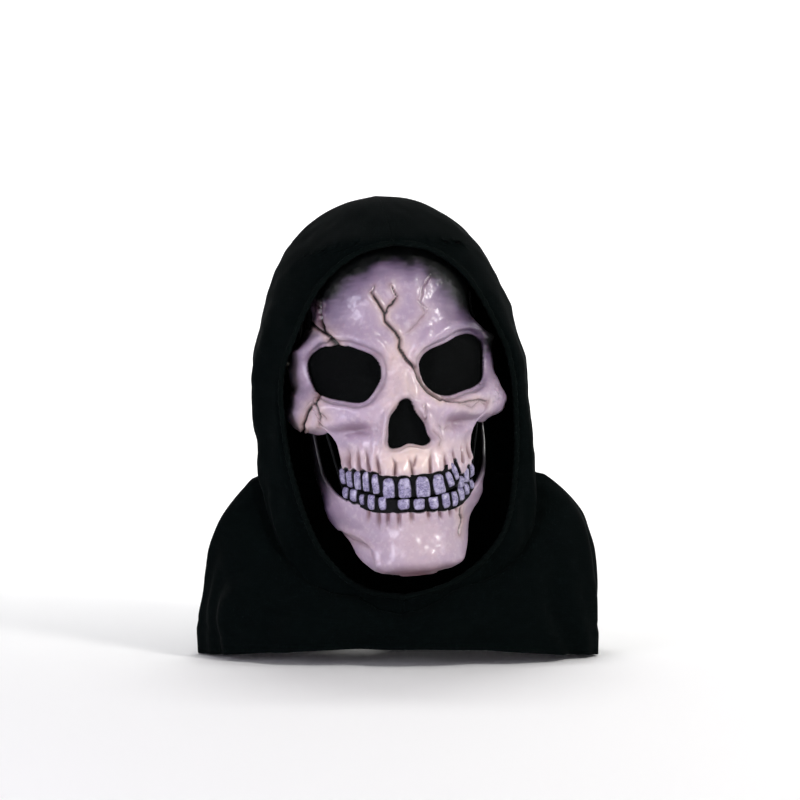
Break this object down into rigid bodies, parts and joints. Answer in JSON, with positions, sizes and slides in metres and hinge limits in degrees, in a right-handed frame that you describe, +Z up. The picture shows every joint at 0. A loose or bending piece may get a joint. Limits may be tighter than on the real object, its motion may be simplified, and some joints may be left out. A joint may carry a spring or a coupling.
{
  "type": "hooded latex mask",
  "caption": "Full-face moulded skull mask with a moving jaw, worn inside a black cloth hood that falls to a short shoulder cape.",
  "frame": {"origin": "middle of the wearer's head, between the ears", "axes": "+Z up the wearer's body, +X towards the wearer's left, and the face looks along -Y; the head is turned and tilted a little as it is worn"},
  "size_m": [0.356, 0.2476, 0.4018],
  "materials": {
    "bone": "cast latex, airbrushed bone colour, satin",
    "tooth": "cast latex, painted grey lavender with black gums",
    "mesh": "black see-through mesh",
    "foam": "black closed-cell foam",
    "webbing": "black woven elastic",
    "metal": "nickel plated",
    "cloth": "matt black knitted cloth"
  },
  "bodies": {
    "mask": {"skull_face": "bone", "upper_teeth": "tooth", "eye_mesh_right": "mesh", "eye_mesh_left": "mesh", "nose_mesh": "mesh", "brow_pad": "foam", "temple_pad_right": "foam", "temple_pad_left": "foam", "side_strap_right": "webbing", "side_strap_left": "webbing", "crown_strap": "webbing", "back_patch": "webbing", "jaw_band_right": "webbing", "jaw_band_left": "webbing", "hood_tab_right": "webbing", "hood_tab_left": "webbing", "crown_tab_right": "webbing", "crown_tab_left": "webbing", "strap_rivet_right": "metal", "strap_rivet_left": "metal", "crown_rivet": "metal", "jaw_stud_right": "metal", "jaw_stud_left": "metal", "stud_cap_right": "metal", "stud_cap_left": "metal", "hood_right": "cloth", "hood_left": "cloth", "face_binding_right": "cloth", "face_binding_left": "cloth", "cape_front": "cloth", "cape_back": "cloth"},
    "jaw": {"lower_jaw": "bone", "lower_teeth": "tooth", "chin_pad": "foam"}
  },
  "joints": [
    {"name": "jaw_hinge", "type": "hinge", "parent": "mask", "child": "jaw", "pos_m": [0.00162, -0.01191, -0.00187], "axis": [0.9891, 0.1219, 0.0831], "range_deg": [0, 10], "stiffness_Nm_per_rad": 0.25, "springref_deg": -22.92, "deforming": ["jaw_band_right", "jaw_band_left"]}
  ]
}
